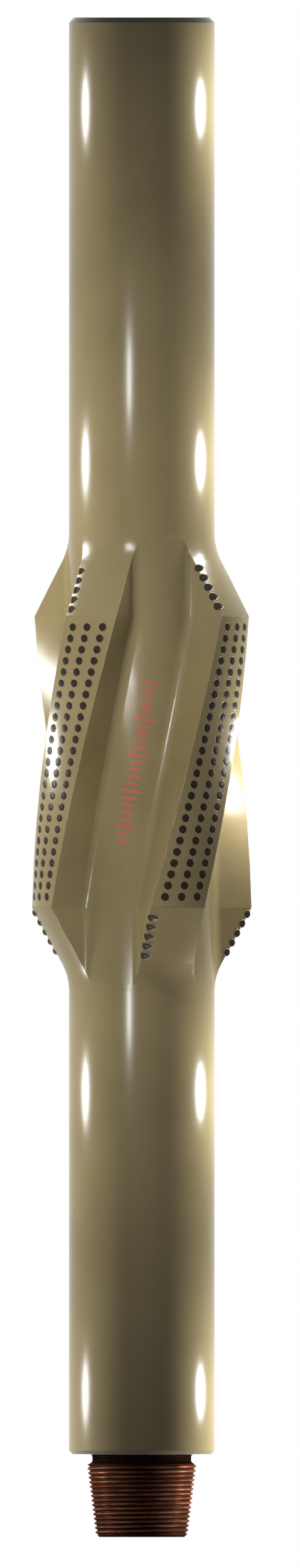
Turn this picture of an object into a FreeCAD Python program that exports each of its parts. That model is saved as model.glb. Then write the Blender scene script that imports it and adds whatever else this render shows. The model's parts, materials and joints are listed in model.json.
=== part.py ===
# Fixed blade reamer for a drill string: a one-piece steel body with four spiral blades,
# brazed diamond cutters on the blades' tapers and pressed carbide inserts on their gauge pads.
# Sizes are in millimetres. +Z runs along the tool's axis from the pin towards the box.
# The origin is on the axis, in the plane of the pin's shoulder. The front of the tool is -Y.
# Angles about the axis are in degrees from the front, and grow towards +X.
import FreeCAD
import Part
import math
import os

Vector = FreeCAD.Vector
AXIS = Vector(0, 0, 1)

# Body bar and its two shoulders
BODY_DIA = 203.2
SHOULDER_TO_SHOULDER = 2004.0
BORE_DIA = 71.4
BORE_CHAMFER = 3.0
BOX_BEVEL_DIA = 188.9
PIN_BEVEL_DIA = 193.2

# Blades, milled out of the bar
BLADE_COUNT = 4
BLADE_WIDTH = 79.4
PAD_LENGTH = 406.4
PAD_MID_HEIGHT = 965.5
BLADE_TWIST_DEG = 42.0
BLADE_PHASE_DEG = 40.7
GAUGE_DIA = 307.975
TAPER_ANGLE_DEG = 28.5
TAPER_BLEND_RADIUS = 80.0
PAD_EDGE_RADIUS = 6.0
FLUTE_ROOT_RADIUS = 15.0
FLUTE_FLOOR_LAND = 0.6
FLUTE_STATIONS = 9

# Tapered threads of the pin and the box
THREAD_PITCH = 6.35
THREAD_TAPER = 0.25
THREAD_DEPTH = 3.1
THREAD_CREST_FLAT = 1.65
THREAD_FLANK_DEG = 30.0
THREAD_CLEARANCE = 0.3

# Pin
PIN_LENGTH = 115.5
PIN_BASE_DIA = 156.4
PIN_RELIEF_DIA = 138.0
PIN_RELIEF_LENGTH = 11.0
PIN_RELIEF_RADIUS = 4.0
PIN_NOSE_CHAMFER = 5.0

# Box
COUNTERBORE_DEPTH = 15.9
COUNTERBORE_CLEARANCE = 0.8
COUNTERBORE_CHAMFER = 1.0
BOX_RELIEF_LENGTH = 20.0
BOX_RELIEF_CLEARANCE = 0.5
BOX_RELIEF_START = 6.0
BOX_CONE_DEG = 30.0

# Diamond cutters on both tapers of each blade
CUTTER_DIA = 11.0
TABLE_THICKNESS = 2.0
TABLE_BEVEL = 0.4
SUBSTRATE_LENGTH = 10.0
SUBSTRATE_BEVEL = 0.8
CUTTER_EXPOSURE = 5.0
CUTTER_RAKE_DEG = 15.0
CUTTER_SET_BACK = 2.4
CUTTER_PITCH = 13.3
FIRST_CUTTER = 7.0
CUTTER_STAGGER = 2.3
LAST_CUTTER_MARGIN = 7.0
UPPER_STAGGER = (3, 2, 0, 1)
LOWER_STAGGER = (3, 1, 2, 0)
BRAZE_GAP = 0.1
POCKET_MOUTH = 6.0

# Carbide inserts in the gauge pads
INSERT_DIA = 11.1125
INSERT_LENGTH = 9.5
INSERT_STAND_OUT = 0.4
INSERT_SHOULDER_DEPTH = 0.2
INSERT_FIT = 0.02
INSERT_ROW_PITCH = 15.67
INSERT_END_MARGIN = 14.0
INSERT_COLUMN_STEP = 24.2
INSERT_COLUMNS = (("leading", -1), ("middle", 0), ("trailing", 1))

# Heights and radii that follow from the sizes above
BODY_RADIUS = BODY_DIA / 2
BORE_RADIUS = BORE_DIA / 2
PAD_RADIUS = GAUGE_DIA / 2 - INSERT_STAND_OUT
PAD_TOP = PAD_MID_HEIGHT + PAD_LENGTH / 2
PAD_BOTTOM = PAD_MID_HEIGHT - PAD_LENGTH / 2
TAPER_SLOPE = math.tan(math.radians(TAPER_ANGLE_DEG))
TAPER_RUN = (PAD_RADIUS - BODY_RADIUS) / TAPER_SLOPE
BLEND_RUN = TAPER_BLEND_RADIUS * math.tan(math.radians(TAPER_ANGLE_DEG) / 2)
FLOOR_RADIUS = BODY_RADIUS + FLUTE_FLOOR_LAND
BLADE_HALF = BLADE_WIDTH / 2
TWIST_PER_MM = BLADE_TWIST_DEG / PAD_LENGTH
BLADE_STEP_DEG = 360.0 / BLADE_COUNT
THREAD_SLOPE = THREAD_TAPER / 2
CUTTER_RADIUS = CUTTER_DIA / 2
INSERT_RADIUS = INSERT_DIA / 2


def outward(angle):
    """Unit vector that points away from the axis at an angle from the front."""
    a = math.radians(angle)
    return Vector(math.sin(a), -math.cos(a), 0)


def leading(angle):
    """Unit vector along which a blade at this angle moves when the tool turns."""
    a = math.radians(angle)
    return Vector(-math.cos(a), -math.sin(a), 0)


def blade_angle(blade, height):
    """Angle of a blade's mid plane: twisted along the pad, straight in the tapers."""
    held = min(max(height, PAD_BOTTOM), PAD_TOP)
    return BLADE_PHASE_DEG + blade * BLADE_STEP_DEG + (held - PAD_MID_HEIGHT) * TWIST_PER_MM


def rounded_outline(corners):
    """Closed wire in the XZ plane through corners of (radius, height, rounding)."""
    edges = []
    ends = []
    count = len(corners)
    for i in range(count):
        here = Vector(corners[i][0], 0, corners[i][1])
        before = Vector(corners[i - 1][0], 0, corners[i - 1][1])
        after = Vector(corners[(i + 1) % count][0], 0, corners[(i + 1) % count][1])
        rounding = corners[i][2]
        if rounding == 0:
            ends.append((here, here, None))
            continue
        to_before = (before - here).normalize()
        to_after = (after - here).normalize()
        half = to_before.getAngle(to_after) / 2
        reach = rounding / math.tan(half)
        middle = (to_before + to_after).normalize()
        crown = here + middle * (rounding / math.sin(half) - rounding)
        ends.append((here + to_before * reach, here + to_after * reach, crown))
    for i in range(count):
        start, finish, crown = ends[i]
        if crown is not None:
            edges.append(Part.Arc(start, crown, finish).toShape())
        edges.append(Part.LineSegment(finish, ends[(i + 1) % count][0]).toShape())
    return Part.Wire(edges)


def turned(corners):
    """Solid of revolution about the tool's axis."""
    face = Part.Face(rounded_outline(corners))
    return face.revolve(Vector(0, 0, 0), AXIS, 360)


def placed(shape, origin, direction):
    """Copy of a shape made along +Z, moved to an origin and turned to a direction."""
    copy = shape.copy()
    copy.Placement = FreeCAD.Placement(origin, FreeCAD.Rotation(AXIS, direction))
    return copy


def pin_crest(height):
    """Radius of the pin's thread crests at a height below its shoulder."""
    return PIN_BASE_DIA / 2 + height * THREAD_SLOPE


def box_crest(height):
    """Radius of the box's thread crests: the mating pin's roots and a clearance."""
    mating = pin_crest(height - SHOULDER_TO_SHOULDER)
    return mating - THREAD_DEPTH + THREAD_CLEARANCE


def turned_blank():
    """The bar as it leaves the lathe, with its blade collar, bore, box and pin cone."""
    pin_end = -PIN_LENGTH
    nose = pin_end + PIN_NOSE_CHAMFER
    relief = PIN_RELIEF_DIA / 2
    thread_start = -PIN_RELIEF_LENGTH - (pin_crest(-PIN_RELIEF_LENGTH) - relief) / 2
    pin_bevel = BODY_RADIUS - PIN_BEVEL_DIA / 2
    box_bevel = BODY_RADIUS - BOX_BEVEL_DIA / 2
    top = SHOULDER_TO_SHOULDER
    mouth = PIN_BASE_DIA / 2 + COUNTERBORE_CLEARANCE
    ledge = top - COUNTERBORE_DEPTH
    groove_top = top - PIN_LENGTH + BOX_RELIEF_START
    groove_radius = box_crest(groove_top) + THREAD_DEPTH + BOX_RELIEF_CLEARANCE
    groove_bottom = groove_top - BOX_RELIEF_LENGTH
    cone_run = (groove_radius - BORE_RADIUS) / math.tan(math.radians(BOX_CONE_DEG))
    return turned([
        (BORE_RADIUS + BORE_CHAMFER, pin_end, 0),
        (pin_crest(nose) - PIN_NOSE_CHAMFER, pin_end, 0),
        (pin_crest(nose), nose, 0),
        (pin_crest(thread_start), thread_start, 0),
        (relief, -PIN_RELIEF_LENGTH, PIN_RELIEF_RADIUS),
        (relief, 0, PIN_RELIEF_RADIUS),
        (PIN_BEVEL_DIA / 2, 0, 0),
        (BODY_RADIUS, pin_bevel, 0),
        (BODY_RADIUS, PAD_BOTTOM - TAPER_RUN, TAPER_BLEND_RADIUS),
        (PAD_RADIUS, PAD_BOTTOM, PAD_EDGE_RADIUS),
        (PAD_RADIUS, PAD_TOP, PAD_EDGE_RADIUS),
        (BODY_RADIUS, PAD_TOP + TAPER_RUN, TAPER_BLEND_RADIUS),
        (BODY_RADIUS, top - box_bevel, 0),
        (BOX_BEVEL_DIA / 2, top, 0),
        (mouth + COUNTERBORE_CHAMFER, top, 0),
        (mouth, top - COUNTERBORE_CHAMFER, 0),
        (mouth, ledge, 0),
        (box_crest(ledge), ledge, 0),
        (box_crest(groove_top), groove_top, 0),
        (groove_radius, groove_top, 0),
        (groove_radius, groove_bottom, 0),
        (BORE_RADIUS, groove_bottom - cone_run, 0),
        (BORE_RADIUS, pin_end + BORE_CHAMFER, 0),
    ])


def thread_tool(crest, low, high, side):
    """Swept thread groove: side 1 cuts into a shaft, and side -1 into a bore."""
    flank = math.tan(math.radians(THREAD_FLANK_DEG))
    clear = THREAD_DEPTH / 4
    narrow = (THREAD_PITCH - THREAD_CREST_FLAT) / 2 - THREAD_DEPTH * flank
    wide = narrow + (THREAD_DEPTH + clear) * flank
    start = crest(low)
    deep = start - side * THREAD_DEPTH
    shallow = start + side * clear
    groove = Part.makePolygon([
        Vector(deep, 0, low - narrow),
        Vector(shallow, 0, low - wide),
        Vector(shallow, 0, low + wide),
        Vector(deep, 0, low + narrow),
        Vector(deep, 0, low - narrow),
    ])
    cone = math.degrees(math.atan((crest(high) - start) / (high - low)))
    helix = Part.makeLongHelix(THREAD_PITCH, high - low, start, cone)
    helix.translate(Vector(0, 0, low))
    sweep = Part.BRepOffsetAPI.MakePipeShell(Part.Wire(helix.Edges))
    sweep.setFrenetMode(True)
    sweep.add(groove)
    sweep.build()
    sweep.makeSolid()
    return sweep.shape()


def flute_outline(angle, height):
    """Cross-section of the space between a blade at this angle and the next one."""
    reach = GAUGE_DIA
    root = FLUTE_ROOT_RADIUS
    across = BLADE_HALF + root
    out = math.sqrt((FLOOR_RADIUS + root) ** 2 - across ** 2)
    far = math.sqrt(reach ** 2 - BLADE_HALF ** 2)
    half_step = math.radians(BLADE_STEP_DEG / 2)
    centre_angle = math.atan2(across, out)
    root_middle = (centre_angle + math.pi / 2) / 2
    shoulder = [
        (BLADE_HALF, far),
        (BLADE_HALF, out),
        (across - root * math.cos(root_middle - centre_angle / 2),
         out - root * math.sin(root_middle - centre_angle / 2)),
        (FLOOR_RADIUS * math.sin(centre_angle), FLOOR_RADIUS * math.cos(centre_angle)),
    ]
    near = []
    facing = []
    for x, y in shoulder:
        radius = math.hypot(x, y)
        turn = math.atan2(x, y)
        near.append(outward(angle + math.degrees(turn)) * radius)
        facing.append(outward(angle + math.degrees(2 * half_step - turn)) * radius)
    floor = outward(angle + BLADE_STEP_DEG / 2) * FLOOR_RADIUS
    wire = Part.Wire([
        Part.LineSegment(near[0], near[1]).toShape(),
        Part.Arc(near[1], near[2], near[3]).toShape(),
        Part.Arc(near[3], floor, facing[3]).toShape(),
        Part.Arc(facing[3], facing[2], facing[1]).toShape(),
        Part.LineSegment(facing[1], facing[0]).toShape(),
        Part.LineSegment(facing[0], near[0]).toShape(),
    ])
    wire.translate(Vector(0, 0, height))
    return wire


def flute_tool(blade):
    """Milled space behind one blade: twisted along the pad and straight in the tapers."""
    run_out = TAPER_RUN + 2 * BLEND_RUN
    stations = []
    for i in range(FLUTE_STATIONS):
        height = PAD_BOTTOM + PAD_LENGTH * i / (FLUTE_STATIONS - 1)
        stations.append(flute_outline(blade_angle(blade, height), height))
    twisted = Part.makeLoft(stations, True, False)
    upper = Part.Face(stations[-1]).extrude(AXIS * run_out)
    lower = Part.Face(stations[0]).extrude(AXIS * -run_out)
    return twisted.fuse([upper, lower])


def insert_rows():
    """Heights of the insert rows, centred on the pad."""
    gaps = int((PAD_LENGTH - 2 * INSERT_END_MARGIN) / INSERT_ROW_PITCH)
    first = PAD_MID_HEIGHT - gaps * INSERT_ROW_PITCH / 2
    return [first + i * INSERT_ROW_PITCH for i in range(gaps + 1)]


def insert_places(blade, column):
    """Seat of each insert of a column: a point on the pad's surface, and the way out."""
    step = math.degrees(INSERT_COLUMN_STEP / PAD_RADIUS)
    places = []
    for height in insert_rows():
        way = outward(blade_angle(blade, height) + column * step)
        places.append((way * PAD_RADIUS + AXIS * height, way))
    return places


def gauge_insert():
    """Domed carbide button along +Z, with the pad's surface at zero."""
    rise = INSERT_STAND_OUT + INSERT_SHOULDER_DEPTH
    dome = (INSERT_RADIUS ** 2 + rise ** 2) / (2 * rise)
    top = INSERT_STAND_OUT
    half = math.asin(INSERT_RADIUS / dome) / 2
    shoulder = Vector(INSERT_RADIUS, 0, -INSERT_SHOULDER_DEPTH)
    crown = Vector(0, 0, top)
    between = Vector(dome * math.sin(half), 0, top - dome + dome * math.cos(half))
    foot = top - INSERT_LENGTH
    wire = Part.Wire([
        Part.LineSegment(Vector(0, 0, foot), Vector(INSERT_RADIUS, 0, foot)).toShape(),
        Part.LineSegment(Vector(INSERT_RADIUS, 0, foot), shoulder).toShape(),
        Part.Arc(shoulder, between, crown).toShape(),
        Part.LineSegment(crown, Vector(0, 0, foot)).toShape(),
    ])
    return Part.Face(wire).revolve(Vector(0, 0, 0), AXIS, 360)


def insert_hole():
    """Tool for the blind hole of one insert, along +Z from the pad's surface."""
    depth = INSERT_LENGTH - INSERT_STAND_OUT
    return Part.makeCylinder(INSERT_RADIUS + INSERT_FIT, depth + INSERT_LENGTH,
                             Vector(0, 0, -depth))


def cutter_places(blade, end):
    """Face centre and pointing of each cutter on one taper: end 1 is up, and -1 is down."""
    stagger = (UPPER_STAGGER if end > 0 else LOWER_STAGGER)[blade % len(UPPER_STAGGER)]
    taper = math.radians(TAPER_ANGLE_DEG)
    rake = math.radians(CUTTER_RAKE_DEG)
    edge = PAD_TOP if end > 0 else PAD_BOTTOM
    angle = blade_angle(blade, edge)
    normal = outward(angle) * math.cos(taper) + AXIS * end * math.sin(taper)
    facing = leading(angle) * math.cos(rake) + normal * math.sin(rake)
    depth = CUTTER_RADIUS * math.cos(rake) - CUTTER_EXPOSURE
    blend = BLEND_RUN * math.cos(taper)
    most = max(UPPER_STAGGER + LOWER_STAGGER)
    latest = FIRST_CUTTER + CUTTER_STAGGER * most + LAST_CUTTER_MARGIN
    gaps = int((TAPER_RUN - blend - latest) / CUTTER_PITCH)
    places = []
    for i in range(gaps + 1):
        along = FIRST_CUTTER + CUTTER_STAGGER * stagger + i * CUTTER_PITCH
        radius = PAD_RADIUS - along * TAPER_SLOPE
        out = math.sqrt(radius ** 2 - BLADE_HALF ** 2)
        edge_point = outward(angle) * out + AXIS * (edge + end * along)
        sideways = leading(angle) * (BLADE_HALF - CUTTER_SET_BACK)
        places.append((edge_point + sideways - normal * depth, facing * -1))
    return places


def disc(radius, low, high, bevel_low, bevel_high):
    """Plain cylinder along +Z with a bevel at each end."""
    outline = [
        Vector(0, 0, low),
        Vector(radius - bevel_low, 0, low),
        Vector(radius, 0, low + bevel_low),
        Vector(radius, 0, high - bevel_high),
        Vector(radius - bevel_high, 0, high),
        Vector(0, 0, high),
    ]
    if bevel_low == 0:
        outline.pop(2)
    if bevel_high == 0:
        outline.pop(-2)
    face = Part.Face(Part.makePolygon(outline + [outline[0]]))
    return face.revolve(Vector(0, 0, 0), AXIS, 360)


def cutter_pocket():
    """Tool for one cutter's pocket, open at its mouth in the blade's leading side."""
    length = TABLE_THICKNESS + SUBSTRATE_LENGTH + BRAZE_GAP
    return Part.makeCylinder(CUTTER_RADIUS + BRAZE_GAP, POCKET_MOUTH + length,
                             Vector(0, 0, -POCKET_MOUTH))


def reamer_body():
    """The bar with its threads, flutes, insert holes and cutter pockets cut."""
    body = turned_blank()
    pin_low = -PIN_LENGTH - THREAD_PITCH
    pin_high = -PIN_RELIEF_LENGTH / 2
    box_low = SHOULDER_TO_SHOULDER - PIN_LENGTH
    box_high = SHOULDER_TO_SHOULDER - COUNTERBORE_DEPTH / 2
    body = body.cut([
        thread_tool(pin_crest, pin_low, pin_high, 1),
        thread_tool(box_crest, box_low, box_high, -1),
    ])
    blades = range(BLADE_COUNT)
    body = body.cut([flute_tool(blade) for blade in blades])
    hole = insert_hole()
    pocket = cutter_pocket()
    tools = []
    for blade in blades:
        for name, column in INSERT_COLUMNS:
            tools += [placed(hole, *place) for place in insert_places(blade, column)]
        for end in (1, -1):
            tools += [placed(pocket, *place) for place in cutter_places(blade, end)]
    return body.cut(tools).Solids[0]


def save(name, solids):
    """Write one sub-part's solids to its own file."""
    shape = solids[0] if len(solids) == 1 else Part.makeCompound(solids)
    shape.exportStep("parts/" + name + ".step")


os.makedirs("parts", exist_ok=True)
save("reamer_body", [reamer_body()])
button = gauge_insert()
table = disc(CUTTER_RADIUS, 0, TABLE_THICKNESS, TABLE_BEVEL, 0)
cutter_end = TABLE_THICKNESS + SUBSTRATE_LENGTH
substrate = disc(CUTTER_RADIUS, TABLE_THICKNESS, cutter_end, 0, SUBSTRATE_BEVEL)
for blade in range(BLADE_COUNT):
    label = "_blade_" + str(blade + 1)
    for name, column in INSERT_COLUMNS:
        places = insert_places(blade, column)
        save("gauge_inserts_" + name + label, [placed(button, *place) for place in places])
    for taper_name, end in (("upper", 1), ("lower", -1)):
        places = cutter_places(blade, end)
        save(taper_name + "_diamond_tables" + label, [placed(table, *place) for place in places])
        save(taper_name + "_cutter_substrates" + label,
             [placed(substrate, *place) for place in places])
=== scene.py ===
"""Looks of the fixed blade reamer: its paint, copper, carbide and diamond, and the plain studio."""
import bpy
import json
import math
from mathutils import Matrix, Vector
from mathutils.bvhtree import BVHTree


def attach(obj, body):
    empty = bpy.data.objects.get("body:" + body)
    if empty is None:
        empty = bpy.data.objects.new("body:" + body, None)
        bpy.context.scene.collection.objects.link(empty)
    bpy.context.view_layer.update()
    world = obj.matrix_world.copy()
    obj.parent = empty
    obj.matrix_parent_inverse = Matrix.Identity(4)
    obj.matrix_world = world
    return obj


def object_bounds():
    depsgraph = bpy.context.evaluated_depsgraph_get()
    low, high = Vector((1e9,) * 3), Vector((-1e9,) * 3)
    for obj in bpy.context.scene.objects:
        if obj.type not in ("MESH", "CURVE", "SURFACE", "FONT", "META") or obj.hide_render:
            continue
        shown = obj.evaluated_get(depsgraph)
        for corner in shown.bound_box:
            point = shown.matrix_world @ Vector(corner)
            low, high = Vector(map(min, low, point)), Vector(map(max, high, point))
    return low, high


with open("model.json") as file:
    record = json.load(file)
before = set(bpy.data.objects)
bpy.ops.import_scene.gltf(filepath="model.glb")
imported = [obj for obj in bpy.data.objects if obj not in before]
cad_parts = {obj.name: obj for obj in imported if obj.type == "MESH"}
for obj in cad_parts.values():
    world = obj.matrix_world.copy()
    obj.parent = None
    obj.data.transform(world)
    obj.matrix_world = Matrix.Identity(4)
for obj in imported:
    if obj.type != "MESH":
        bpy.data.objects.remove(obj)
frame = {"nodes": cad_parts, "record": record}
cad_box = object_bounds()

# Sizes of the reamer, in metres and radians, as its frame has them
BODY_RADIUS = 0.1016
FLUTE_FLOOR_RADIUS = 0.1022
BORE_RADIUS = 0.0357
PAD_RADIUS = 0.1536
PAD_BOTTOM = 0.7623
PAD_TOP = 1.1687
PAD_MIDDLE = (PAD_BOTTOM + PAD_TOP) / 2
PAD_HALF = (PAD_TOP - PAD_BOTTOM) / 2
TAPER_SLOPE = math.tan(math.radians(28.5))
BLADE_HALF = 0.0397
BLADE_PHASE = math.radians(40.7)
BLADE_STEP = math.radians(90.0)
TWIST_RATE = math.radians(42.0) / (PAD_TOP - PAD_BOTTOM)
SHOULDER_HEIGHT = 2.004
BOX_MOUTH_RADIUS = 0.0801
BOX_CAVITY_BOTTOM = 1.822
PIN_CREST = 0.0782
BOX_CREST = 0.0754
THREAD_SLOPE = 0.125
THREAD_DEPTH = 0.0031
CUTTER_RADIUS = 0.0055
INSERT_RADIUS = 0.00556

# The photograph's view: its frame's height, where its middle lies, and how far the camera sees
VIEW_HEIGHT = 2.187
VIEW_MIDDLE_X = 0.0115
VIEW_MIDDLE_Z = 0.9348
VIEW_DISTANCE = 6.0
VIEW_DEPTH = 100.0

# Studio lamps in columns round the tool. Each column has its place, its lamps' radius, how far
# apart the two halves of a lamp stand, and the lamps' heights with their share of the power.
LAMP_POWER = 4.4
SIDE_HEIGHTS = {1.878: 1.0, 1.385: 1.0, 0.985: 1.0, 0.506: 1.0, 0.087: 0.75, -0.070: 0.70}
FRONT_HEIGHTS = {1.503: 1.16, 1.085: 0.50, 0.624: 1.12}
FLUTE_HEIGHTS = {1.115: 0.80}
BACK_HEIGHTS = {1.503: 1.10, 1.085: 1.26, 0.624: 1.03}
LAMP_COLUMNS = {
    "left": {"x": -0.365, "y": -0.008, "radius": 0.044, "apart": 0.0, "heights": SIDE_HEIGHTS},
    "right": {"x": 0.244, "y": -0.009, "radius": 0.036, "apart": 0.0, "heights": SIDE_HEIGHTS},
    "front": {"x": -0.171, "y": -0.523, "radius": 0.020, "apart": 0.050, "heights": FRONT_HEIGHTS},
    "flute": {"x": -0.112, "y": -0.521, "radius": 0.008, "apart": 0.035, "heights": FLUTE_HEIGHTS},
    "back": {"x": 0.060, "y": 0.547, "radius": 0.028, "apart": 0.050, "heights": BACK_HEIGHTS},
}

# Light that the white surroundings give, and the floor: its side, its gap and its glow
ROOM_FILL = 0.012
FLOOR_SPREAD = 60.0
FLOOR_GAP = 0.0004
FLOOR_GLOW = 0.85
FLOOR_GLOW_STRENGTH = 0.93

# Colours, as linear red, green, blue and alpha
WHITE = (1.0, 1.0, 1.0, 1.0)
FLOOR_PALE = (0.8, 0.8, 0.8, 1.0)
FLOOR_DARK = (0.05, 0.05, 0.05, 1.0)
OLIVE = (0.184, 0.145, 0.067, 1.0)
OLIVE_SHADE = (0.154, 0.119, 0.053, 1.0)
SCALE_RED = (0.50, 0.060, 0.065, 1.0)
WORN_EDGE = (0.25, 0.215, 0.15, 1.0)
CREST_COPPER = (0.205, 0.078, 0.045, 1.0)
# Painted shade in the thread roots, also the darker copper of random blotches and streaks
ROOT_SHADE_AND_DARK_COPPER = (0.042, 0.015, 0.0085, 1.0)
# Painted shade in the pin's neck, nearly black
PAINTED_NECK_SHADE = (0.010, 0.005, 0.003, 1.0)
COPPER_SHEEN = (0.40, 0.20, 0.12, 1.0)
BARE_STEEL = (0.30, 0.29, 0.28, 1.0)
CARBIDE_BROWN = (0.024, 0.016, 0.012, 1.0)
CARBIDE_GREY = (0.066, 0.053, 0.047, 1.0)
DIAMOND_BLACK = (0.013, 0.0095, 0.008, 1.0)
BRAZE = (0.30, 0.23, 0.13, 1.0)

# Gloss of the body's finishes: roughness goes from 0 for a mirror to 1 for chalk
PAINT_ROUGHNESS = 0.216
PAINT_UNEVENNESS = 0.025
PAINT_SHINE = 0.235
STEEL_ROUGHNESS_MORE = 0.08
WORN_ROUGHNESS_MORE = 0.1
COPPER_ROUGHNESS = 0.22
COPPER_UNEVENNESS = 0.12
COPPER_METALLIC = 0.10

# Soft edges between the body's finishes, and the relief of each, in metres
SOFT_EDGE = 0.0003
SEALING_REACH = 0.0001
SEALING_EDGE = 0.0002
BOX_MOUTH_EDGE = 0.0002
BOX_BOTTOM_EDGE = 0.004
PEEL_HEIGHT = 0.000006
RING_PITCH = 0.0006
RING_HEIGHT = 0.0000012
PLATING_HEIGHT = 0.00003

# Worn paint along the blades' edges: its greatest width, its edge, and its room above the body
WEAR_WIDTH = 0.0018
WEAR_EDGE = 0.0005
WEAR_ROOM = 0.004

# Copper darkened with depth as painted shade: where roots and neck darken, and how much random
# blotches and streaks darken it
ROOT_DEPTH = THREAD_DEPTH * 0.8
NECK_START = THREAD_DEPTH * 1.1
NECK_DEPTH = THREAD_DEPTH * 1.4
BLOTCH_DARKNESS = 0.5
STREAK_DARKNESS = 0.75
STREAK_STRETCH = (1.0, 1.0, 9.0)

# Red measuring scale on the front flute's floor
SCALE_FOOT = 0.850
SCALE_HEAD = 1.077
SCALE_MIDDLE = (SCALE_FOOT + SCALE_HEAD) / 2
SCALE_HALF = (SCALE_HEAD - SCALE_FOOT) / 2
SCALE_STEP = 0.010
SCALE_LONG_STEP = SCALE_STEP * 5
SCALE_STROKE = 0.0013
SCALE_SHORT = 0.008
SCALE_LONG = 0.0145
SCALE_RIM = FLUTE_FLOOR_RADIUS + 0.002
SCALE_RIM_EDGE = 0.001
SCALE_THINNESS = 0.35

# Lips of paint round the inserts
LIP_GAP = 0.0005
LIP_RADIUS = 0.00042
LIP_SINK = 0.00005
LIP_FLATNESS = 0.55
LIP_LEAST_SIZE = 0.98
LIP_MOST_SIZE = 1.03
LIP_SEED = 5
LIP_POINTS = 20
LIP_SIDES = 5

# Beads of braze round the cutters, and the rays that find where they lie
BEAD_GAP = 0.00025
BEAD_RADIUS = 0.0004
BEAD_UNEVENNESS = 0.5
BEAD_SEED = 3.0
BEAD_GRAIN = 220.0
BEAD_DETAIL = 2.0
BEAD_POINTS = 56
BEAD_SIDES = 8
RAY_START = 0.02
RAY_LENGTH = 0.05

# Gaps in height that tell one solid of a node from the next, and decimals that points agree to
INSERT_SPACING = 0.003
CUTTER_SPACING = 0.0005
POINT_DECIMALS = 6

# Sockets of nodes that have several under one name
MIX_FACTOR, MIX_FIRST, MIX_SECOND, MIX_COLOUR = 0, 6, 7, 2
RANDOM_LEAST, RANDOM_MOST, RANDOM_NUMBER = 2, 3, 1


class Field:
    """A number that varies over a shape, so that node maths reads as plain expressions."""

    def __init__(self, nodes, socket):
        self.nodes = nodes
        self.socket = socket

    def __add__(self, other):
        return self.nodes.maths("ADD", self, other)

    def __radd__(self, other):
        return self.nodes.maths("ADD", other, self)

    def __sub__(self, other):
        return self.nodes.maths("SUBTRACT", self, other)

    def __rsub__(self, other):
        return self.nodes.maths("SUBTRACT", other, self)

    def __mul__(self, other):
        return self.nodes.maths("MULTIPLY", self, other)

    def __rmul__(self, other):
        return self.nodes.maths("MULTIPLY", other, self)

    def __mod__(self, other):
        return self.nodes.maths("FLOORED_MODULO", self, other)

    def __pow__(self, other):
        return self.nodes.maths("POWER", self, other)

    def __abs__(self):
        return self.nodes.maths("ABSOLUTE", self)

    def most(self, other):
        """The larger of the two."""
        return self.nodes.maths("MAXIMUM", self, other)

    def least(self, other):
        """The smaller of the two."""
        return self.nodes.maths("MINIMUM", self, other)

    def held(self, low, high):
        """This number, kept between low and high."""
        return self.most(low).least(high)

    def rise(self, low, high):
        """0 below low and 1 above high, with a smooth step between."""
        return self.nodes.node("ShaderNodeMapRange", {"interpolation_type": "SMOOTHSTEP"},
                               {"Value": self, "From Min": low, "From Max": high})

    def near(self, middle, reach, soft):
        """1 within reach of middle, and 0 outside, with soft edges."""
        return 1 - abs(self - middle).rise(reach, reach + soft)


class Nodes:
    """A tree of nodes, and the one way to add a node to it."""

    def __init__(self, tree):
        self.tree = tree
        self.tree.nodes.clear()

    def node(self, kind, settings=None, inputs=None, output=0):
        """Adds a node, makes its settings, fills or links its inputs, and returns one output."""
        made = self.tree.nodes.new(kind)
        for name, value in (settings or {}).items():
            setattr(made, name, value)
        for name, value in (inputs or {}).items():
            if isinstance(value, Field):
                self.tree.links.new(value.socket, made.inputs[name])
            else:
                made.inputs[name].default_value = value
        return None if output is None else Field(self, made.outputs[output])

    def maths(self, operation, *values):
        """One arithmetic operation on these values."""
        return self.node("ShaderNodeMath", {"operation": operation}, dict(enumerate(values)))

    def light_path(self):
        """1 on camera, glossy and transmission rays, and 0 on the others."""
        seen = [self.node("ShaderNodeLightPath", output=f"Is {kind} Ray")
                for kind in ("Camera", "Glossy", "Transmission")]
        return (seen[0] + seen[1] + seen[2]).rise(0.0, 1.0)


class Finish(Nodes):
    """One procedural material, built from Object coordinates."""

    def __init__(self, name):
        self.material = bpy.data.materials.new(name)
        self.material.use_nodes = True
        super().__init__(self.material.node_tree)
        self.place = self.node("ShaderNodeTexCoord", output="Object")

    def axes(self):
        """The place's three coordinates."""
        return [self.node("ShaderNodeSeparateXYZ", None, {"Vector": self.place}, axis)
                for axis in "XYZ"]

    def noise(self, grain, detail, stretch=(1.0, 1.0, 1.0)):
        """Smooth noise from 0 to 1, with about this many grains to a metre."""
        place = self.node("ShaderNodeMapping", None, {"Vector": self.place, "Scale": stretch})
        return self.node("ShaderNodeTexNoise", None,
                         {"Vector": place, "Scale": grain, "Detail": detail})

    def blend(self, factor, first, second):
        """Colour that goes from first to second as factor goes from 0 to 1."""
        inputs = {MIX_FACTOR: factor, MIX_FIRST: first, MIX_SECOND: second}
        return self.node("ShaderNodeMix", {"data_type": "RGBA"}, inputs, MIX_COLOUR)

    def coat(self, relief, **sockets):
        """One Principled shader, with this relief in metres."""
        inputs = {name.replace("_", " "): value for name, value in sockets.items()}
        inputs["Normal"] = self.node("ShaderNodeBump", None, {"Height": relief, "Distance": 1.0})
        return self.node("ShaderNodeBsdfPrincipled", None, inputs)

    def layered(self, factor, first, second):
        """Shader that goes from first to second as factor goes from 0 to 1."""
        return self.node("ShaderNodeMixShader", None, {0: factor, 1: first, 2: second})

    def close(self, shader):
        """Ends the tree in this shader, and returns the material."""
        self.node("ShaderNodeOutputMaterial", None, {"Surface": shader}, None)
        return self.material


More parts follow.
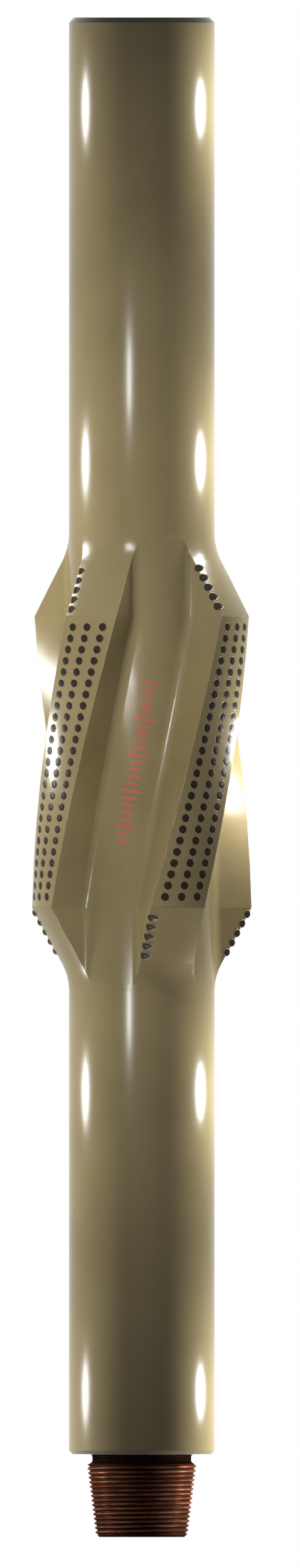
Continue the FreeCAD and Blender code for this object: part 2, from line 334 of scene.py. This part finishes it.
class BodyFinish(Finish):
    """Gloss paint outside, dark copper on both threads, bare steel on sealing faces and bore."""

    def __init__(self):
        super().__init__("olive_gloss_paint")
        x, y, z = self.axes()
        radius = (x * x + y * y) ** 0.5
        around = self.maths("ARCTAN2", x, 0.0 - y)
        turned = (z.held(PAD_BOTTOM, PAD_TOP) - PAD_MIDDLE) * TWIST_RATE
        self.z = z
        self.radius = radius
        self.twisted = around - turned - BLADE_PHASE

        self.on_pin = 1 - z.rise(-2 * SOFT_EDGE, -SOFT_EDGE)
        above_bottom = z.rise(BOX_CAVITY_BOTTOM, BOX_CAVITY_BOTTOM + BOX_BOTTOM_EDGE)
        within_mouth = 1 - radius.rise(BOX_MOUTH_RADIUS, BOX_MOUTH_RADIUS + BOX_MOUTH_EDGE)
        self.in_box = above_bottom * within_mouth
        in_bore = 1 - radius.rise(BORE_RADIUS + SOFT_EDGE, BORE_RADIUS + 2 * SOFT_EDGE)
        pin_shoulder = z.near(0.0, SEALING_REACH, SEALING_EDGE)
        box_shoulder = z.near(SHOULDER_HEIGHT, SEALING_REACH, SEALING_EDGE)
        self.bare = in_bore.most(pin_shoulder.most(box_shoulder))

    def scale(self):
        """1 on the strokes of the measuring scale, and 0 beside them."""
        across = (self.twisted + BLADE_STEP / 2) * FLUTE_FLOOR_RADIUS
        along = self.z + across * (TWIST_RATE * FLUTE_FLOOR_RADIUS)
        short = (along % SCALE_STEP).near(SCALE_STEP / 2, SCALE_STROKE, SOFT_EDGE)
        short *= across.near(0.0, SCALE_SHORT, SOFT_EDGE)
        long = (along % SCALE_LONG_STEP).near(SCALE_LONG_STEP / 2, SCALE_STROKE, SOFT_EDGE)
        long *= across.near(0.0, SCALE_LONG, SOFT_EDGE)
        strokes = short.most(long) * self.z.near(SCALE_MIDDLE, SCALE_HALF, SOFT_EDGE)
        strokes *= 1 - self.radius.rise(SCALE_RIM, SCALE_RIM + SCALE_RIM_EDGE)
        return strokes * (1 - SCALE_THINNESS * self.noise(grain=900.0, detail=2.0))

    def wear(self):
        """1 where the paint is worn along the blades' edges, and 0 elsewhere."""
        from_blade = (self.twisted + BLADE_STEP / 2) % BLADE_STEP - BLADE_STEP / 2
        aside = abs(self.radius * self.maths("SINE", from_blade))
        past_pad = (abs(self.z - PAD_MIDDLE) - PAD_HALF).most(0.0)
        skin = (PAD_RADIUS - past_pad * TAPER_SLOPE).most(BODY_RADIUS + WEAR_ROOM)
        width = self.noise(grain=90.0, detail=4.0) * WEAR_WIDTH
        worn = (aside + width - BLADE_HALF).rise(0.0, WEAR_EDGE)
        worn *= (self.radius + width - skin).rise(0.0, WEAR_EDGE)
        return worn * self.noise(grain=28.0, detail=3.0).rise(low=0.50, high=0.62)

    def outside(self):
        """The coat of paint, with the bare steel in the same shader."""
        worn = self.wear()
        clouds = self.noise(grain=7.0, detail=5.0).rise(low=0.35, high=0.75)
        paint = self.blend(clouds, OLIVE, OLIVE_SHADE)
        paint = self.blend(self.scale(), paint, SCALE_RED)
        paint = self.blend(worn, paint, WORN_EDGE)
        peel = self.noise(grain=380.0, detail=2.0) * PEEL_HEIGHT
        rings = self.maths("SINE", self.radius * (math.tau / RING_PITCH)) * RING_HEIGHT
        roughness = PAINT_ROUGHNESS + self.noise(grain=22.0, detail=4.0) * PAINT_UNEVENNESS
        roughness += self.bare * STEEL_ROUGHNESS_MORE + worn * WORN_ROUGHNESS_MORE
        return self.coat(
            peel * (1 - self.bare) + rings * self.bare,
            Base_Color=self.blend(self.bare, paint, BARE_STEEL),
            Metallic=self.bare,
            Roughness=roughness,
            Specular_IOR_Level=PAINT_SHINE,
        )

    def threads(self):
        """The coat of copper: painted shade darkens its roots and the pin's neck, and it is
        blotched and streaked.
        """
        pin_depth = PIN_CREST + self.z * THREAD_SLOPE - self.radius
        box_depth = self.radius - BOX_CREST - (self.z - SHOULDER_HEIGHT) * THREAD_SLOPE
        depth = self.on_pin * pin_depth + self.in_box * box_depth
        blotches = self.noise(grain=150.0, detail=5.0)
        streaks = self.noise(grain=26.0, detail=4.0, stretch=STREAK_STRETCH)
        blotched = blotches.rise(low=0.45, high=0.70) * BLOTCH_DARKNESS
        streaked = streaks.rise(low=0.42, high=0.60) * STREAK_DARKNESS
        # Painted shade: roots and neck darken with depth; blotches and streaks darken the copper at
        # random
        tone = self.blend(depth.rise(0.0, ROOT_DEPTH), CREST_COPPER, ROOT_SHADE_AND_DARK_COPPER)
        tone = self.blend(blotched, tone, ROOT_SHADE_AND_DARK_COPPER)
        tone = self.blend(streaked, tone, ROOT_SHADE_AND_DARK_COPPER)
        tone = self.blend(depth.rise(NECK_START, NECK_DEPTH), tone, PAINTED_NECK_SHADE)
        return self.coat(
            self.noise(grain=600.0, detail=4.0) * PLATING_HEIGHT,
            Base_Color=tone,
            Metallic=COPPER_METALLIC,
            Roughness=COPPER_ROUGHNESS + blotches * COPPER_UNEVENNESS,
            Specular_IOR_Level=0.0,
            Specular_Tint=COPPER_SHEEN,
        )

    def whole(self):
        """The body's material, with both coats."""
        plated = self.on_pin.most(self.in_box) * (1 - self.bare)
        return self.close(self.layered(plated, self.outside(), self.threads()))


def grained(name, colour, shade, fade, grain, detail, relief, roughness, unevenness, **sockets):
    """Material of one colour, which one fine noise shades, lifts and dulls."""
    finish = Finish(name)
    speckle = finish.noise(grain, detail)
    shaded = tuple(part * shade for part in colour[:3]) + colour[3:]
    return finish.close(finish.coat(
        speckle * relief,
        Base_Color=finish.blend(speckle.rise(*fade) if fade else speckle, colour, shaded),
        Roughness=roughness + speckle * unevenness,
        **sockets,
    ))


def insert_finish():
    """Ground brown carbide of the gauge inserts."""
    return grained("ground_brown_carbide", CARBIDE_BROWN, shade=0.6, fade=(0.3, 0.8),
                   grain=2600.0, detail=3.0, relief=0.000003, roughness=0.36, unevenness=0.1,
                   Specular_IOR_Level=0.06)


def substrate_finish():
    """Ground grey carbide of the cutters' barrels."""
    return grained("ground_grey_carbide", CARBIDE_GREY, shade=0.5, fade=(0.3, 0.8),
                   grain=1800.0, detail=3.0, relief=0.000002, roughness=0.15, unevenness=0.08,
                   Metallic=0.8)


def diamond_finish():
    """Lapped black diamond of the cutters' discs."""
    return grained("lapped_black_diamond", DIAMOND_BLACK, shade=1.8, fade=None,
                   grain=500.0, detail=4.0, relief=0.000001, roughness=0.16, unevenness=0.08,
                   Specular_IOR_Level=0.17)


def braze_finish():
    """Pale bronze braze that holds the cutters."""
    return grained("pale_bronze_braze", BRAZE, shade=0.45, fade=(0.35, 0.7),
                   grain=700.0, detail=4.0, relief=0.00003, roughness=0.30, unevenness=0.2,
                   Metallic=0.8)


def dress():
    """Gives every CAD node its finish, and returns the finishes by slot."""
    finishes = {
        "body_paint": BodyFinish().whole(),
        "gauge_carbide": insert_finish(),
        "cutter_carbide": substrate_finish(),
        "diamond": diamond_finish(),
    }
    slots = {part["node"]: part["material_slot"] for part in frame["record"]["subparts"]}
    for name, node in frame["nodes"].items():
        node.data.materials.clear()
        node.data.materials.append(finishes[slots[name]])
    return finishes


class Pattern(Nodes):
    """One Geometry Nodes tree, with named inputs for its sizes, its seed and its finish."""

    KINDS = {
        float: "NodeSocketFloat",
        int: "NodeSocketInt",
        bpy.types.Material: "NodeSocketMaterial",
    }

    def __init__(self, name, **values):
        super().__init__(bpy.data.node_groups.new(name, "GeometryNodeTree"))
        face = self.tree.interface
        self.values = {}
        face.new_socket("Geometry", in_out="INPUT", socket_type="NodeSocketGeometry")
        for label, value in values.items():
            socket = face.new_socket(label, in_out="INPUT", socket_type=self.KINDS[type(value)])
            self.values[socket.identifier] = value
        face.new_socket("Geometry", in_out="OUTPUT", socket_type="NodeSocketGeometry")
        entry = self.tree.nodes.new("NodeGroupInput")
        self.start = Field(self, entry.outputs["Geometry"])
        self.given = {label: Field(self, entry.outputs[label]) for label in values}

    def circle(self, points, radius):
        """Closed curve of this many points."""
        return self.node("GeometryNodeCurvePrimitiveCircle", None,
                         {"Resolution": points, "Radius": radius})

    def close(self, shape, finish):
        """Ends the tree in real faces with their finish."""
        shape = self.node("GeometryNodeRealizeInstances", None, {"Geometry": shape})
        shape = self.node("GeometryNodeSetMaterial", None, {"Geometry": shape, "Material": finish})
        self.node("NodeGroupOutput", None, {"Geometry": shape}, None)

    def grow(self, name, slot, points, edges=(), ways=()):
        """Turns points, with edges or outward ways, into one plain mesh that rides the tool."""
        seeds = bpy.data.meshes.new(name + "_seeds")
        seeds.from_pydata(points, edges, [])
        if ways:
            away = seeds.attributes.new("way", "FLOAT_VECTOR", "POINT")
            away.data.foreach_set("vector", [number for way in ways for number in way])
        piece = bpy.data.objects.new(name, seeds)
        bpy.context.scene.collection.objects.link(piece)
        modifier = piece.modifiers.new(name, "NODES")
        modifier.node_group = self.tree
        for identifier, value in self.values.items():
            modifier[identifier] = value
        evaluated = piece.evaluated_get(bpy.context.evaluated_depsgraph_get())
        plain = bpy.data.meshes.new_from_object(evaluated)
        piece.modifiers.clear()
        piece.data = plain
        plain.shade_smooth()
        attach(piece, "root")


def clumps(node, gap):
    """Middle of each of a node's solids, which lie gap or more apart in height, from the lowest."""
    points = sorted({tuple(round(c, POINT_DECIMALS) for c in v.co) for v in node.data.vertices},
                    key=lambda point: point[2])
    groups = [[points[0]]]
    for point in points[1:]:
        if point[2] - groups[-1][-1][2] > gap:
            groups.append([])
        groups[-1].append(point)
    return [sum((Vector(point) for point in group), Vector()) / len(group) for group in groups]


def paint_lips(finish):
    """Low rim of paint that gathers round each pressed insert."""
    inserts = [node for name, node in frame["nodes"].items() if name.startswith("gauge_inserts")]
    middles = [middle for node in inserts for middle in clumps(node, INSERT_SPACING)]
    ways = [Vector((middle.x, middle.y, 0.0)).normalized() for middle in middles]
    seats = [way * (PAD_RADIUS - LIP_SINK) + Vector((0.0, 0.0, middle.z))
             for way, middle in zip(ways, middles)]
    lips = Pattern("paint_lips", Ring_Radius=INSERT_RADIUS + LIP_GAP, Lip_Radius=LIP_RADIUS,
                   Flatness=LIP_FLATNESS, Seed=LIP_SEED, Paint=finish)
    given = lips.given
    ring = lips.circle(LIP_POINTS, given["Ring_Radius"])
    section = lips.circle(LIP_SIDES, given["Lip_Radius"])
    lip = lips.node("GeometryNodeCurveToMesh", None, {"Curve": ring, "Profile Curve": section})
    squeeze = lips.node("ShaderNodeCombineXYZ", None, {"X": 1.0, "Y": 1.0, "Z": given["Flatness"]})
    lip = lips.node("GeometryNodeTransform", None, {"Geometry": lip, "Scale": squeeze})
    way = lips.node("GeometryNodeInputNamedAttribute", {"data_type": "FLOAT_VECTOR"},
                    {"Name": "way"})
    rotation = lips.node("FunctionNodeAlignRotationToVector", {"axis": "Z"}, {"Vector": way})
    sizes = {RANDOM_LEAST: LIP_LEAST_SIZE, RANDOM_MOST: LIP_MOST_SIZE, "Seed": given["Seed"]}
    size = lips.node("FunctionNodeRandomValue", {"data_type": "FLOAT"}, sizes, RANDOM_NUMBER)
    rims = lips.node("GeometryNodeInstanceOnPoints", None,
                     {"Points": lips.start, "Instance": lip, "Rotation": rotation, "Scale": size})
    lips.close(rims, given["Paint"])
    lips.grow("insert_paint_lips", "body_paint", seats, ways=ways)


def pocket_edge(skin, table, barrel):
    """Points on the body's skin round one cutter, found by rays that run along it."""
    facing = (table - barrel).normalized()
    across = facing.orthogonal().normalized()
    other = facing.cross(across)
    points = []
    for i in range(BEAD_POINTS):
        turn = math.tau * i / BEAD_POINTS
        way = across * math.cos(turn) + other * math.sin(turn)
        start = table + way * (CUTTER_RADIUS + BEAD_GAP) + facing * RAY_START
        points.append(skin.ray_cast(start, facing * -1, RAY_LENGTH)[0])
    return points


def braze_beads(finish):
    """Bead of braze along the line where each cutter leaves its pocket."""
    body = frame["nodes"]["reamer_body"].data
    skin = BVHTree.FromPolygons([v.co for v in body.vertices], [p.vertices for p in body.polygons])
    points = []
    edges = []
    for name, tables in frame["nodes"].items():
        if "diamond_tables" not in name:
            continue
        barrels = frame["nodes"][name.replace("diamond_tables", "cutter_substrates")]
        for pair in zip(clumps(tables, CUTTER_SPACING), clumps(barrels, CUTTER_SPACING)):
            first = len(points)
            points += pocket_edge(skin, *pair)
            edges += [(first + i, first + (i + 1) % BEAD_POINTS) for i in range(BEAD_POINTS)]
    beads = Pattern("braze_beads", Bead_Radius=BEAD_RADIUS, Unevenness=BEAD_UNEVENNESS,
                    Seed=BEAD_SEED, Braze=finish)
    given = beads.given
    line = beads.node("GeometryNodeMeshToCurve", None, {"Mesh": beads.start})
    section = beads.circle(BEAD_SIDES, given["Bead_Radius"])
    flow = beads.node("ShaderNodeTexNoise", {"noise_dimensions": "4D"},
                      {"W": given["Seed"], "Scale": BEAD_GRAIN, "Detail": BEAD_DETAIL})
    swell = 1 + (flow - 0.5) * 2 * given["Unevenness"]
    bead = beads.node("GeometryNodeCurveToMesh", None,
                      {"Curve": line, "Profile Curve": section, "Scale": swell})
    beads.close(bead, given["Braze"])
    beads.grow("cutter_braze_beads", "cutter_carbide", points, edges=edges)


def floor():
    """Plain pale floor under the pin's nose, clear from below and dark to the light it bounces."""
    half = FLOOR_SPREAD / 2
    level = cad_box[0].z - FLOOR_GAP
    corners = [(x * half, y * half, level) for x, y in ((-1, -1), (1, -1), (1, 1), (-1, 1))]
    mesh = bpy.data.meshes.new("studio_floor")
    mesh.from_pydata(corners, [], [(0, 1, 2, 3)])
    plane = bpy.data.objects.new("studio_floor", mesh)
    bpy.context.scene.collection.objects.link(plane)
    finish = Finish("pale_floor")
    seen = finish.light_path()
    below = finish.node("ShaderNodeNewGeometry", output="Backfacing")
    tone = finish.blend(seen, FLOOR_DARK, FLOOR_PALE)
    matt = finish.node("ShaderNodeBsdfDiffuse", None, {"Color": tone})
    glow = finish.node("ShaderNodeEmission", None,
                       {"Color": WHITE, "Strength": FLOOR_GLOW_STRENGTH})
    clear = finish.node("ShaderNodeBsdfTransparent")
    above = finish.layered(seen * FLOOR_GLOW, matt, glow)
    mesh.materials.append(finish.close(finish.layered(below, above, clear)))


def room():
    """White surroundings to see and to reflect, with little light of their own."""
    world = bpy.data.worlds.new("studio")
    bpy.context.scene.world = world
    world.use_nodes = True
    walls = Nodes(world.node_tree)
    strength = ROOM_FILL + walls.light_path() * (1.0 - ROOM_FILL)
    glow = walls.node("ShaderNodeBackground", None, {"Color": WHITE, "Strength": strength})
    walls.node("ShaderNodeOutputWorld", None, {"Surface": glow}, None)


def lamps():
    """Small soft lamps in columns round the tool, whole or in two halves."""
    for name, column in LAMP_COLUMNS.items():
        apart = column["apart"]
        offsets = (-apart / 2, apart / 2) if apart else (0.0,)
        for number, (height, share) in enumerate(column["heights"].items(), 1):
            for offset in offsets:
                light = bpy.data.lights.new(f"{name}_lamp_{number}", "POINT")
                light.energy = LAMP_POWER * share / len(offsets)
                light.shadow_soft_size = column["radius"]
                lamp = bpy.data.objects.new(light.name, light)
                lamp.location = (column["x"], column["y"], height + offset)
                lamp.visible_camera = False
                bpy.context.scene.collection.objects.link(lamp)


def camera():
    """Looks at the tool's front, level with the middle of the photograph."""
    data = bpy.data.cameras.new("front_camera")
    data.type = "ORTHO"
    data.ortho_scale = VIEW_HEIGHT
    data.clip_end = VIEW_DEPTH
    eye = bpy.data.objects.new("front_camera", data)
    eye.location = (VIEW_MIDDLE_X, -VIEW_DISTANCE, VIEW_MIDDLE_Z)
    eye.rotation_euler = (math.pi / 2, 0.0, 0.0)
    bpy.context.scene.collection.objects.link(eye)
    bpy.context.scene.camera = eye


camera()
finishes = dress()
paint_lips(finishes["body_paint"])
braze_beads(braze_finish())
floor()
room()
lamps()
bpy.context.scene.view_settings.view_transform = "Standard"
